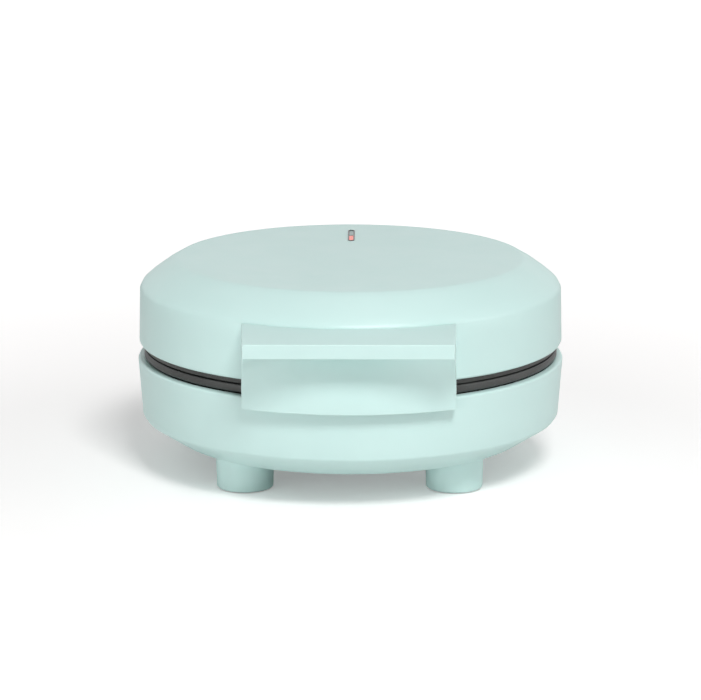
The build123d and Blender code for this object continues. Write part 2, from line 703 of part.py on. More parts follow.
def window_slot(grow, low, high):
    """The upright slot shape of the lamp window, grown all round."""
    outline = Rot(0, 0, 90) * SlotOverall(WINDOW_LENGTH + 2 * grow, WINDOW_WIDTH + 2 * grow)
    return Pos(0, WINDOW_Y, low) * extrude(outline, high - low)


def handle_screw_planes():
    """Planes on the inside of the lid's wall, with Z pointing outwards, at the handle's two screws."""
    z = SHOULDER_Z - HANDLE_TOP_DROP - HANDLE_LIP_HEIGHT / 2
    planes = []
    for angle in HANDLE_SCREW_ANGLES:
        x, y = polar(lid_wall_inside(z), angle)
        planes.append(Plane(origin=(x, y, z), x_dir=(0, 0, 1), z_dir=(x, y, 0)))
    return planes


def make_lid_housing():
    shell = lid_outside()
    half = HINGE_TONGUE_WIDTH / 2
    shell += side_extrusion(tongue_outline(), -half, half)
    shell += along_x(KNUCKLE_RADIUS, -half, half, HINGE_Y, HINGE_Z)
    shell -= lid_inside()
    pillar_foot = LOWER_FACE_Z + PLATE_PARTING_GAP + FLANGE_THICK + SEAT_GAP
    for x, y in flange_screw_places():
        shell += disc(LID_POST_RADIUS, pillar_foot, SHOULDER_Z + LID_POST_RISE, x, y)
        hole = disc(SCREW_RADIUS + SCREW_BITE_CLEARANCE, pillar_foot, pillar_foot + SCREW_BITE, x, y)
        shell -= hole
    shell -= window_slot(PART_GAP, TOP_Z - 2 * SHELL_WALL, TOP_Z + OVERCUT)
    for side in (-1, 1):
        x0, x1 = sorted((side * (half - PIN_BITE - OVERCUT), side * (half + OVERCUT)))
        shell -= along_x(PIN_RADIUS + PIN_RUNNING_GAP, x0, x1, HINGE_Y, HINGE_Z)
    for plane in handle_screw_planes():
        shell -= peg(plane, SCREW_RADIUS + SCREW_HOLE_CLEARANCE, -SHELL_WALL, 3 * SHELL_WALL)
    return shell


# Handle: a box moulding with a straight lip, a finger scoop below it and a skirt that hangs
# over the base in the same curve as the body.
def scoop_section(x):
    """One YZ slice of the scoop's cutter. The wall bulges to the lip at both ends of the handle."""
    skirt_foot = BASE_RIM_Z - HANDLE_SKIRT_LAP
    lip_foot = SHOULDER_Z - HANDLE_TOP_DROP - HANDLE_LIP_HEIGHT
    skirt_y = -sqrt(HANDLE_SKIRT_RADIUS**2 - x**2)
    share = min(1.0, abs(x) / (HANDLE_ROOT_WIDTH / 2)) ** SCOOP_SPREAD
    top_y = -HANDLE_REACH + SCOOP_DEPTH + (SCOOP_END_DEPTH - SCOOP_DEPTH) * share
    low = skirt_foot - SHELL_WALL
    far = -HANDLE_REACH - OVERCUT
    wall = Bezier((x, skirt_y, skirt_foot), (x, skirt_y, (skirt_foot + lip_foot) / 2), (x, top_y, lip_foot))
    rest = Polyline(
        (x, top_y, lip_foot), (x, far, lip_foot), (x, far, low), (x, skirt_y, low), (x, skirt_y, skirt_foot)
    )
    return make_face(wall + rest)


def handle_blank():
    """The block that the scoop is cut from: a sloping top and sides that taper towards the lip."""
    root = LID_SHOULDER_RADIUS - SHOULDER_ROUND
    skirt_foot = BASE_RIM_Z - HANDLE_SKIRT_LAP
    side = [
        (-root / 2, SHOULDER_Z),
        (-root, SHOULDER_Z),
        (-HANDLE_REACH, SHOULDER_Z - HANDLE_TOP_DROP),
        (-HANDLE_REACH, skirt_foot),
        (-root / 2, skirt_foot),
    ]
    blank = side_extrusion(side, -HANDLE_ROOT_WIDTH, HANDLE_ROOT_WIDTH)
    plan = [
        (-HANDLE_LIP_WIDTH / 2, -HANDLE_REACH, 0),
        (HANDLE_LIP_WIDTH / 2, -HANDLE_REACH, 0),
        (HANDLE_ROOT_WIDTH / 2, -root, 0),
        (HANDLE_ROOT_WIDTH / 2, 0, 0),
        (-HANDLE_ROOT_WIDTH / 2, 0, 0),
        (-HANDLE_ROOT_WIDTH / 2, -root, 0),
    ]
    blank = blank & extrude(make_face(Polyline(plan, close=True)), TOP_Z, dir=(0, 0, 1))
    upper = blank.edges().filter_by_position(Axis.Z, SHOULDER_Z - HANDLE_TOP_DROP, SHOULDER_Z)
    lip = blank.edges().group_by(Axis.Y)[0]
    outside = [e for e in upper + lip if e.center().Y < -root / 2 - OVERCUT]
    rounded = {e for e in outside if e.center().Z > skirt_foot + OVERCUT}
    return fillet(rounded, HANDLE_EDGE_ROUND)


def make_handle():
    half = HANDLE_ROOT_WIDTH / 2 + OVERCUT
    steps = [2 * i / (SCOOP_SECTIONS - 1) - 1 for i in range(SCOOP_SECTIONS)]
    body = handle_blank() - loft([scoop_section(step * half) for step in steps], ruled=True)
    skirt_inside = HANDLE_SKIRT_RADIUS - HANDLE_SKIRT_WALL
    skirt_foot = BASE_RIM_Z - HANDLE_SKIRT_LAP
    body -= revolved(
        [
            (0, skirt_foot - OVERCUT),
            (skirt_inside, skirt_foot - OVERCUT),
            (skirt_inside, LID_RIM_Z + RIM_ROUND),
            (LID_RIM_RADIUS + HANDLE_SEAT_GAP, LID_RIM_Z + RIM_ROUND),
            (LID_SHOULDER_RADIUS + HANDLE_SEAT_GAP, SHOULDER_Z),
            (LID_SHOULDER_RADIUS + HANDLE_SEAT_GAP, SHOULDER_Z + OVERCUT),
            (0, SHOULDER_Z + OVERCUT),
        ]
    )
    for plane in handle_screw_planes():
        body -= peg(plane, SCREW_RADIUS + SCREW_BITE_CLEARANCE, 0, HANDLE_SCREW_LENGTH + OVERCUT)
    return body


def make_handle_screws():
    """Driven from inside the lid, before the plate goes in."""
    screws = []
    for plane in handle_screw_planes():
        head = peg(plane, SCREW_HEAD_RADIUS, -SCREW_HEAD_HEIGHT - SEAT_GAP, -SEAT_GAP)
        screws.append(head + peg(plane, SCREW_RADIUS, -SEAT_GAP, HANDLE_SCREW_LENGTH))
    return screws


# Signal lamps: a bezel pushed up through the lid's slot, two lenses in it and a holder below.
def make_lamp_bezel():
    bezel = window_slot(-PART_GAP, CEILING_Z, TOP_Z + BEZEL_PROUD)
    bezel += window_slot(BEZEL_FLANGE_GROWTH, CEILING_Z - BEZEL_FLANGE_THICK, CEILING_Z)
    return bezel - window_slot(-BEZEL_WALL, CEILING_Z - 2 * BEZEL_FLANGE_THICK, TOP_Z + OVERCUT)


def make_lamp_lens(side):
    """Half of the window: side -1 is the front half, 1 the back half."""
    top = TOP_Z + BEZEL_PROUD - LENS_SINK
    lens = window_slot(-BEZEL_WALL - PART_GAP, CEILING_Z - BEZEL_FLANGE_THICK, top)
    y0, y1 = sorted((WINDOW_Y + side * LENS_DIVIDER / 2, WINDOW_Y + side * WINDOW_LENGTH))
    return lens & block((-WINDOW_WIDTH, y0, 0), (WINDOW_WIDTH, y1, TOP_Z + OVERCUT))


def lamp_places():
    return [(0, WINDOW_Y + side * LAMP_SPACING / 2) for side in (-1, 1)]


def make_lamp_holder():
    width, length, height = HOLDER_SIZE
    top = CEILING_Z - BEZEL_FLANGE_THICK
    body = block((-width / 2, WINDOW_Y - length / 2, top - height), (width / 2, WINDOW_Y + length / 2, top))
    for x, y in lamp_places():
        body -= disc(LAMP_RADIUS + SEAT_GAP, top - LAMP_HEIGHT - SEAT_GAP, top + OVERCUT, x, y)
    return body


def make_lamps():
    top = CEILING_Z - BEZEL_FLANGE_THICK - SEAT_GAP
    lamps = []
    for x, y in lamp_places():
        glass = disc(LAMP_RADIUS, top - LAMP_HEIGHT, top, x, y)
        lamps.append(chamfer(glass.edges().group_by(Axis.Z)[-1], LAMP_RADIUS / 2))
    return lamps


NODES = {
    "base_housing": make_base_housing,
    "foot_pads": make_foot_pads,
    "lower_plate": make_lower_plate,
    "lower_heater": lambda: to_lower(make_element()),
    "lower_heater_clamps": lambda: to_lower(make_clamps()),
    "lower_clamp_screws": lambda: to_lower(make_clamp_screws()),
    "lower_thermostat": lambda: to_lower(make_thermostat()),
    "lower_thermal_fuse": lambda: to_lower(make_thermal_fuse()),
    "lower_reflector": lambda: to_lower(make_reflector()),
    "base_screws": make_base_screws,
    "terminal_block": make_terminal_block,
    "base_leads": make_base_leads,
    "cord_gland": make_cord_gland,
    "hinge_pins": make_hinge_pins,
    "lid_housing": make_lid_housing,
    "handle": make_handle,
    "handle_screws": make_handle_screws,
    "upper_plate": make_upper_plate,
    "plate_screws": lambda: to_upper(make_flange_screws()),
    "upper_heater": lambda: to_upper(make_element()),
    "upper_heater_clamps": lambda: to_upper(make_clamps()),
    "upper_clamp_screws": lambda: to_upper(make_clamp_screws()),
    "upper_thermostat": lambda: to_upper(make_thermostat()),
    "upper_thermal_fuse": lambda: to_upper(make_thermal_fuse()),
    "upper_reflector": lambda: to_upper(make_reflector()),
    "reflector_screws": lambda: to_upper(make_reflector_screws()),
    "lamp_bezel": make_lamp_bezel,
    "lamp_lens_red": lambda: make_lamp_lens(-1),
    "lamp_lens_green": lambda: make_lamp_lens(1),
    "lamp_holder": make_lamp_holder,
    "neon_lamps": make_lamps,
    "lid_leads": make_lid_leads,
}

os.makedirs("parts", exist_ok=True)
for name, make in NODES.items():
    shape = make()
    items = shape if isinstance(shape, list) else [shape]
    solids = [solid for item in items for solid in item.solids()]
    whole = solids[0] if len(solids) == 1 else Compound(children=solids)
    export_step(whole, f"parts/{name}.step")
    print(name, len(whole.solids()), round(whole.volume / 1000, 2), "cm3")
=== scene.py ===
# Bubble waffle maker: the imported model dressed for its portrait.
# Lengths are in metres, in the same frame as the CAD model.
import bpy
import bmesh
from math import cos, pi, radians, sin, sqrt
from mathutils import Matrix, Vector


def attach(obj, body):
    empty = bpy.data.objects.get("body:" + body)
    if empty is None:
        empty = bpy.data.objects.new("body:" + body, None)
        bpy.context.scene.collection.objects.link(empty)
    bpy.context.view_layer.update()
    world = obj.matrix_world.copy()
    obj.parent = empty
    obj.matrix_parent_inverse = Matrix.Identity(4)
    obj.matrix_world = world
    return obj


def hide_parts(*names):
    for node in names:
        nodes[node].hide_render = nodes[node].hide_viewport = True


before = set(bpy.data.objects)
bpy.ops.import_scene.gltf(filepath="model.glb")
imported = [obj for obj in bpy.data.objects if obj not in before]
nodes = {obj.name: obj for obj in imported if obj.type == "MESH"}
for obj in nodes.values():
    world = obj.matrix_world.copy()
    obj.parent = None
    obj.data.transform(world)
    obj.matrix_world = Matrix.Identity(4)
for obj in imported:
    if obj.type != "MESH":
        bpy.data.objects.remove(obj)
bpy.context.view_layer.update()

# Camera: it stands in front of the closed maker and looks slightly down, as for a product photograph.
# A long lens keeps the two shells nearly level.
CAMERA_DISTANCE = 1.7347
CAMERA_ELEVATION = radians(12.88)
CAMERA_AZIMUTH = radians(0.45)
AIM = Vector((0, 0, 0.05707))
SENSOR = 36.0
FOCAL = 177.9
CLIP_END = 50

camera = bpy.data.objects.new("camera", bpy.data.cameras.new("camera"))
bpy.context.scene.collection.objects.link(camera)
outwards = Vector(
    (
        sin(CAMERA_AZIMUTH) * cos(CAMERA_ELEVATION),
        -cos(CAMERA_AZIMUTH) * cos(CAMERA_ELEVATION),
        sin(CAMERA_ELEVATION),
    )
)
camera.location = AIM + outwards * CAMERA_DISTANCE
camera.rotation_euler = (-outwards).to_track_quat("-Z", "Y").to_euler()
camera.data.sensor_width = SENSOR
camera.data.lens = FOCAL
camera.data.clip_end = CLIP_END
bpy.context.scene.camera = camera
bpy.context.scene.view_settings.view_transform = "Standard"


# Backdrop: matt white paper, laid flat under the maker and far out round it. The camera sees it glow up to
# white away from the maker, which keeps the shadow and adds no light.
FLOOR_HALF = 6.0
FLOOR_CORNERS = ((-1, -1), (1, -1), (1, 1), (-1, 1))
PAPER_COLOUR = (0.93, 0.915, 0.91, 1)
PAPER_ROUGHNESS = 0.9
GLOW_LOW = 0.24
GLOW_HIGH = 0.9
GLOW_START = 0.2
GLOW_STOP = 1.1


def new_material(name):
    """A material with only a Principled shader in it. Returns the material, its tree and the shader."""
    material = bpy.data.materials.new(name)
    material.use_nodes = True
    tree = material.node_tree
    return material, tree, tree.nodes["Principled BSDF"]


def set_inputs(node, values):
    for socket, value in values.items():
        node.inputs[socket].default_value = value


def wire(tree, source, output, target, socket):
    tree.links.new(source.outputs[output], target.inputs[socket])


def maths(tree, operation, *terms):
    """A Math node over plain numbers and (node, output) pairs."""
    node = tree.nodes.new("ShaderNodeMath")
    node.operation = operation
    for k, term in enumerate(terms):
        if isinstance(term, tuple):
            wire(tree, *term, node, k)
        else:
            node.inputs[k].default_value = term
    return node


def spread(tree, source, output, low, high, start=0.3, stop=0.7):
    """A number from low to high as the source runs from start to stop."""
    span = tree.nodes.new("ShaderNodeMapRange")
    set_inputs(span, {"From Min": start, "From Max": stop, "To Min": low, "To Max": high})
    wire(tree, source, output, span, "Value")
    return span


def build_mesh(name, points, faces):
    mesh = bpy.data.meshes.new(name)
    mesh.from_pydata(points, [], faces)
    mesh.update()
    piece = bpy.data.objects.new(name, mesh)
    bpy.context.scene.collection.objects.link(piece)
    return piece


def paper_sweep():
    material, tree, shader = new_material("paper_sweep")
    set_inputs(shader, {"Base Color": PAPER_COLOUR, "Roughness": PAPER_ROUGHNESS})
    place = tree.nodes.new("ShaderNodeTexCoord")
    reach = tree.nodes.new("ShaderNodeVectorMath")
    reach.operation = "LENGTH"
    wire(tree, place, "Object", reach, 0)
    fade = spread(tree, reach, "Value", GLOW_LOW, GLOW_HIGH, GLOW_START, GLOW_STOP)
    ray = tree.nodes.new("ShaderNodeLightPath")
    lift = maths(tree, "MULTIPLY", (ray, "Is Camera Ray"), (fade, "Result"))
    glow = tree.nodes.new("ShaderNodeEmission")
    wire(tree, lift, 0, glow, "Strength")
    both = tree.nodes.new("ShaderNodeAddShader")
    wire(tree, shader, 0, both, 0)
    wire(tree, glow, 0, both, 1)
    wire(tree, both, 0, tree.nodes["Material Output"], "Surface")
    return material


floor_points = [(x * FLOOR_HALF, y * FLOOR_HALF, 0) for x, y in FLOOR_CORNERS]
floor = build_mesh("floor", floor_points, [(0, 1, 2, 3)])
floor.data.materials.append(paper_sweep())


# Room: a white studio, evenly and weakly lit. It lights the maker from all round, while the camera, gloss and
# clear parts see it as plain white.
ROOM_LEVEL = 0.32

room = bpy.data.worlds.new("room")
bpy.context.scene.world = room
room.use_nodes = True
room_tree = room.node_tree
room_light = room_tree.nodes["Background"]
room_light.inputs["Color"].default_value = (1, 1, 1, 1)
room_ray = room_tree.nodes.new("ShaderNodeLightPath")
seen_plain = maths(room_tree, "MAXIMUM", (room_ray, "Is Camera Ray"), (room_ray, "Is Glossy Ray"))
seen_white = maths(room_tree, "MAXIMUM", (seen_plain, 0), (room_ray, "Is Transmission Ray"))
room_level = spread(room_tree, seen_white, 0, ROOM_LEVEL, 1.0, start=0.0, stop=1.0)
wire(room_tree, room_level, "Result", room_light, "Strength")


# Soft boxes: lamps behind white cloth. A strong one hangs high in front, a weaker one stands at the right,
# and a low wide one fills the scoop of the handle from the left. Sizes are in metres.
BOX_AIM = Vector((0, 0, 0.05))


def soft_box(name, place, size, watts):
    lamp = bpy.data.lights.new(name, "AREA")
    lamp.shape = "RECTANGLE"
    lamp.size, lamp.size_y = size
    lamp.energy = watts
    box = bpy.data.objects.new(name, lamp)
    bpy.context.scene.collection.objects.link(box)
    box.location = place
    box.rotation_euler = (Vector(place) - BOX_AIM).to_track_quat("Z", "Y").to_euler()


soft_box("key_box", place=(0.45, -1.6, 1.85), size=(0.7, 0.6), watts=33)
soft_box("side_box", place=(2.2, -0.5, 0.7), size=(1.2, 1.0), watts=7)
soft_box("fill_box", place=(-1.5, -1.7, 0.22), size=(1.6, 0.4), watts=11)


# Base and lid housings: two shells of mint coloured plastic, injection moulded, left with a satin face and
# joined by the hinge at the back. The CAD solids carry the shape. A small node tree welds their facets and
# keeps only real corners sharp.
WELD_GAP = 0.000002
SHARP_CORNER = radians(50)
SHELL_LEAD = 70
MINT_DEEP = (0.578, 0.782, 0.754)
MINT_PALE = (0.606, 0.810, 0.782)
MINT_WORN = (0.75, 0.89, 0.87)
BEVEL_SAMPLES = 4
EDGE_TURNED = 0.9
EDGE_FLAT = 0.995


def new_tree(name, sizes):
    """An empty Geometry Nodes tree with one named input for each size. Returns it with its two end nodes."""
    tree = bpy.data.node_groups.new(name, "GeometryNodeTree")
    for size, kind in {"Geometry": "Geometry", **sizes}.items():
        tree.interface.new_socket(size, in_out="INPUT", socket_type="NodeSocket" + kind)
    tree.interface.new_socket("Geometry", in_out="OUTPUT", socket_type="NodeSocketGeometry")
    return tree, tree.nodes.new("NodeGroupInput"), tree.nodes.new("NodeGroupOutput")


def run_tree(node, name, tree, settings):
    """Puts a node tree on a piece, with settings by socket name."""
    modifier = node.modifiers.new(name, "NODES")
    modifier.node_group = tree
    for item in tree.interface.items_tree:
        if item.in_out == "INPUT" and item.name in settings:
            modifier[item.identifier] = settings[item.name]


def soften_tree():
    """Welds facets, shades them smooth and keeps edges sharp that turn by more than an angle."""
    tree, start, end = new_tree("soften_moulding", {"Weld Gap": "Float", "Sharp Angle": "Float"})
    weld = tree.nodes.new("GeometryNodeMergeByDistance")
    smooth = tree.nodes.new("GeometryNodeSetShadeSmooth")
    crease = tree.nodes.new("GeometryNodeSetShadeSmooth")
    crease.domain = "EDGE"
    crease.inputs["Shade Smooth"].default_value = False
    angle = tree.nodes.new("GeometryNodeInputMeshEdgeAngle")
    over = tree.nodes.new("FunctionNodeCompare")
    over.operation = "GREATER_THAN"
    wire(tree, start, "Geometry", weld, "Geometry")
    wire(tree, start, "Weld Gap", weld, "Distance")
    wire(tree, weld, "Geometry", smooth, "Geometry")
    wire(tree, smooth, "Geometry", crease, "Geometry")
    wire(tree, angle, "Unsigned Angle", over, 0)
    wire(tree, start, "Sharp Angle", over, 1)
    wire(tree, over, "Result", crease, "Selection")
    wire(tree, crease, "Geometry", end, "Geometry")
    return tree


soften_moulding = soften_tree()


def lead_by_flats(piece, weight):
    """Normals that follow the larger faces."""
    normals = piece.modifiers.new("flat_faces_lead", "WEIGHTED_NORMAL")
    normals.keep_sharp = True
    normals.weight = weight


def soften(names):
    for name in names:
        run_tree(nodes[name], "soften", soften_moulding, {"Weld Gap": WELD_GAP, "Sharp Angle": SHARP_CORNER})
        lead_by_flats(nodes[name], SHELL_LEAD)


def paint(names, material):
    for name in names:
        for place in nodes[name].material_slots:
            place.material = material


def object_noise(tree, scale, detail=3.0):
    """Noise on Object coordinates, with scale in waves per metre."""
    place = tree.nodes.new("ShaderNodeTexCoord")
    noise = tree.nodes.new("ShaderNodeTexNoise")
    set_inputs(noise, {"Scale": scale, "Detail": detail})
    wire(tree, place, "Object", noise, "Vector")
    return noise


def ramp(tree, source, output, low, high, start=0.3, stop=0.7):
    """Colours from low to high as the source runs from start to stop."""
    band = tree.nodes.new("ShaderNodeValToRGB")
    for element, position, colour in zip(band.color_ramp.elements, (start, stop), (low, high)):
        element.position = position
        element.color = (*colour, 1)
    wire(tree, source, output, band, "Fac")
    return band


def grain(tree, shader, scale, height, strength):
    """A fine bump of that height in metres."""
    noise = object_noise(tree, scale)
    bump = tree.nodes.new("ShaderNodeBump")
    set_inputs(bump, {"Strength": strength, "Distance": height})
    wire(tree, noise, "Fac", bump, "Height")
    wire(tree, bump, "Normal", shader, "Normal")


def blend_colours(tree, factor, first, output, second):
    """From the first node's colour to a plain one, as the factor node's result runs from 0 to 1."""
    mix = tree.nodes.new("ShaderNodeMix")
    mix.data_type = "RGBA"
    wire(tree, factor, "Result", mix, "Factor")
    wire(tree, first, output, mix, "A")
    mix.inputs["B"].default_value = (*second, 1)
    return mix


def wear(tree, shader, tone, colour, radius, strength):
    """Lets a second colour through on convex edges of that radius. Returns the node that mixes the two."""
    round_over = tree.nodes.new("ShaderNodeBevel")
    round_over.samples = BEVEL_SAMPLES
    round_over.inputs["Radius"].default_value = radius
    shape = tree.nodes.new("ShaderNodeNewGeometry")
    match = tree.nodes.new("ShaderNodeVectorMath")
    match.operation = "DOT_PRODUCT"
    wire(tree, round_over, "Normal", match, 0)
    wire(tree, shape, "Normal", match, 1)
    edge = spread(tree, match, "Value", strength, 0.0, EDGE_TURNED, EDGE_FLAT)
    worn = blend_colours(tree, edge, tone, "Color", colour)
    wire(tree, worn, "Result", shader, "Base Color")
    return worn


def mint_plastic():
    material, tree, shader = new_material("mint_plastic")
    cloud = object_noise(tree, scale=14.0)
    tone = ramp(tree, cloud, "Fac", MINT_DEEP, MINT_PALE)
    wear(tree, shader, tone, MINT_WORN, radius=0.0006, strength=0.35)
    handled = object_noise(tree, scale=60.0, detail=5.0)
    polish = spread(tree, handled, "Fac", low=0.34, high=0.42)
    wire(tree, polish, "Result", shader, "Roughness")
    set_inputs(
        shader,
        {
            "Specular IOR Level": 0.45,
            "Subsurface Weight": 0.06,
            "Subsurface Radius": (0.6, 1.0, 0.9),
            "Subsurface Scale": 0.002,
        },
    )
    grain(tree, shader, scale=2400.0, height=0.00002, strength=0.25)
    return material


mint = mint_plastic()
soften(("base_housing", "lid_housing"))
paint(("base_housing", "lid_housing"), mint)


# Handle: one moulding in the same plastic, screwed to the lid's wall from inside. A straight lip stands over
# a scoop for four fingers, and the scooped wall runs down into a skirt that follows the body's curve.
HANDLE_TIP = 0.0494
HANDLE_ROOT = 0.0508
LIP_FRONT = 0.125
ROOT_FRONT = 0.1022
OVERHANG = LIP_FRONT - ROOT_FRONT
TOP_BACK = 0.0915
TOP_FRONT = 0.0880
LIP_UNDER = 0.0811
SKIRT_OUTSIDE = 0.1114
SKIRT_INSIDE = 0.1084
SKIRT_FOOT = 0.0509
SKIRT_STEP = 0.0647
LID_SEAT_LOW = 0.10555
LID_SEAT_HIGH = 0.10495
SCOOP_DEPTH = 0.0176
SCOOP_END_DEPTH = 0.0006
SCOOP_SPREAD = 2.6
SLOPE_START = 0.35
SLOPE_STEPS = 4
WALL_STEPS = 16
HANDLE_SLICES = 56
WIDTH_ROUNDS = 4
HANDLE_EDGE = 0.0009
EDGE_SEGMENTS = 3
EDGE_ANGLE = radians(35)
HANDLE_LEAD = 60


def handle_point(share, reach, curved, height):
    """A point at a share of the handle's half width. A curved reach is a radius about the body's axis, and
    any other a plain distance. The handle narrows towards the lip, so the two are settled in turns."""
    x = share * HANDLE_ROOT
    for _ in range(WIDTH_ROUNDS):
        front = sqrt(reach**2 - x**2) if curved else reach
        taper = min(1.0, max(0.0, (front - ROOT_FRONT) / OVERHANG))
        x = share * (HANDLE_ROOT + (HANDLE_TIP - HANDLE_ROOT) * taper)
    return (x, -front, height)


def handle_slice(share):
    """One upright slice: over the top, down the lip, back under it, down the scoop, up inside the skirt."""
    deep = SCOOP_DEPTH + (SCOOP_END_DEPTH - SCOOP_DEPTH) * abs(share) ** SCOOP_SPREAD
    scoop_front = LIP_FRONT - deep
    skirt_front = sqrt(SKIRT_OUTSIDE**2 - (share * HANDLE_ROOT) ** 2)
    top = [(LID_SEAT_HIGH, True)]
    for k in range(1, SLOPE_STEPS + 1):
        top.append((ROOT_FRONT + OVERHANG * (SLOPE_START + (1 - SLOPE_START) * k / SLOPE_STEPS), False))
    corners = [
        (reach, curved, TOP_BACK + (TOP_FRONT - TOP_BACK) * ((reach - ROOT_FRONT) / OVERHANG))
        for reach, curved in top
    ]
    corners += [
        (LIP_FRONT, False, (TOP_FRONT + LIP_UNDER) / 2),
        (LIP_FRONT, False, LIP_UNDER),
        ((LIP_FRONT + scoop_front) / 2, False, LIP_UNDER),
    ]
    for k in range(WALL_STEPS + 1):
        down = k / WALL_STEPS
        hollow = (1 - down) ** 2
        front = hollow * scoop_front + (1 - hollow) * skirt_front
        corners.append((front, False, LIP_UNDER + (SKIRT_FOOT - LIP_UNDER) * down))
    corners += [
        (SKIRT_INSIDE, True, SKIRT_FOOT),
        (SKIRT_INSIDE, True, SKIRT_STEP),
        (LID_SEAT_LOW, True, SKIRT_STEP),
    ]
    return [handle_point(share, *corner) for corner in corners]


def belt(first, second):
    """Four-sided faces between two closed loops of corners of one length."""
    size = len(first)
    return [(first[k], first[(k + 1) % size], second[(k + 1) % size], second[k]) for k in range(size)]


def handle_shell():
    slices = [handle_slice(2 * k / HANDLE_SLICES - 1) for k in range(HANDLE_SLICES + 1)]
    size = len(slices[0])
    loops = [range(k * size, (k + 1) * size) for k in range(HANDLE_SLICES + 1)]
    faces = []
    for near, far in zip(loops, loops[1:]):
        faces += belt(near, far)
    faces += [tuple(reversed(loops[0])), tuple(loops[-1])]
    piece = build_mesh("handle_moulding", [point for row in slices for point in row], faces)
    skin = bmesh.new()
    skin.from_mesh(piece.data)
    bmesh.ops.recalc_face_normals(skin, faces=skin.faces)
    skin.to_mesh(piece.data)
    skin.free()
    piece.data.shade_smooth()
    piece.data.materials.append(mint)
    edge = piece.modifiers.new("moulded_edges", "BEVEL")
    edge.width = HANDLE_EDGE
    edge.segments = EDGE_SEGMENTS
    edge.limit_method = "ANGLE"
    edge.angle_limit = EDGE_ANGLE
    lead_by_flats(piece, HANDLE_LEAD)
    return piece


handle = handle_shell()
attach(handle, "lid")
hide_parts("handle")


# Cooking plates: die cast aluminium with a dark non-stick coating, each screwed into its shell. The CAD
# castings stay, and a thin coated cup lies in each mould, turned as one closed skin with a soft lip that
# rolls out on the web between the moulds.
PLATE_DEEP = (0.030, 0.031, 0.030)
PLATE_PALE = (0.052, 0.054, 0.052)
PLATE_WORN = (0.16, 0.165, 0.16)
PLATE_FLECK = (0.17, 0.175, 0.17)
MOULD_BALL = 0.01228
MOULD_CENTRE = -0.0005
WEB_FACE = -0.0025
SKIN = 0.00012
LIP_REACH = 0.0134
LIP_RISE = 0.00022
LIP_ROLL = (0.5, 1.0, 1.4)
LIP_SHOULDER = 0.4
LIP_FOOT = 0.00002
CUP_STEPS = 14
CUP_SIDES = 48
MOULD_PITCH = 0.033
MOULD_RINGS = 2
LOWER_FACE = 0.0604
UPPER_FACE = 0.0608
ON_AXIS = 1e-7


def mottle(tree, shader, scale, detail, colours, roughness):
    """Colour and gloss that drift together with one soft noise. Returns the colour ramp."""
    cloud = object_noise(tree, scale, detail)
    tone = ramp(tree, cloud, "Fac", *colours)
    wire(tree, tone, "Color", shader, "Base Color")
    gloss = spread(tree, cloud, "Fac", *roughness)
    wire(tree, gloss, "Result", shader, "Roughness")
    return tone


def plate_coating():
    material, tree, shader = new_material("plate_coating")
    tone = mottle(
        tree, shader, scale=45.0, detail=6.0, colours=(PLATE_DEEP, PLATE_PALE), roughness=(0.38, 0.52)
    )
    worn = wear(tree, shader, tone, PLATE_WORN, radius=0.0005, strength=0.5)
    speck = object_noise(tree, scale=1500.0, detail=2.0)
    fleck = spread(tree, speck, "Fac", low=0.0, high=0.35, start=0.62, stop=0.72)
    dusted = blend_colours(tree, fleck, worn, "Result", PLATE_FLECK)
    wire(tree, dusted, "Result", shader, "Base Color")
    grain(tree, shader, scale=1800.0, height=0.00003, strength=0.4)
    return material


coating = plate_coating()
soften(("lower_plate", "upper_plate"))
paint(("lower_plate", "upper_plate"), coating)


def circle(radius, height, sides):
    angles = [2 * pi * k / sides for k in range(sides)]
    return [(radius * cos(angle), radius * sin(angle), height) for angle in angles]


def turned(name, outline, sides):
    """A closed solid turned about Z from (radius, height) points. Points on the axis become poles."""
    points, rings, faces = [], [], []
    for radius, height in outline:
        ring = [(0, 0, height)] if radius < ON_AXIS else circle(radius, height, sides)
        rings.append(range(len(points), len(points) + len(ring)))
        points += ring
    for a, b in zip(rings, rings[1:] + rings[:1]):
        if len(a) > 1 and len(b) > 1:
            faces += belt(a, b)
        elif len(a) > 1:
            faces += [(a[k], a[(k + 1) % sides], b[0]) for k in range(sides)]
        elif len(b) > 1:
            faces += [(a[0], b[(k + 1) % sides], b[k]) for k in range(sides)]
    piece = build_mesh(name, points, faces)
    piece.data.shade_smooth()
    return piece


def mould_cup():
    """Inside of the cup from its bottom up, over the lip, and back down the outside."""
    mouth = sqrt(MOULD_BALL**2 - (WEB_FACE - MOULD_CENTRE) ** 2)
    inside = []
    for k in range(CUP_STEPS + 1):
        angle = k / CUP_STEPS * pi / 2
        height = MOULD_CENTRE - MOULD_BALL * cos(angle)
        if height < WEB_FACE:
            inside.append((MOULD_BALL * sin(angle), height))
    swell = 1 + SKIN / MOULD_BALL
    outside = [(r * swell, MOULD_CENTRE + (z - MOULD_CENTRE) * swell) for r, z in reversed(inside)]
    roll = [(mouth + (LIP_REACH - mouth) * (1 - cos(a)), WEB_FACE + LIP_RISE * sin(a)) for a in LIP_ROLL]
    rim = [(LIP_REACH, WEB_FACE + LIP_RISE * LIP_SHOULDER), (LIP_REACH, WEB_FACE + LIP_FOOT)]
    outline = inside + [(mouth, WEB_FACE)] + roll + rim + [(mouth + SKIN, WEB_FACE)] + outside
    return turned("mould_cup", outline, CUP_SIDES)


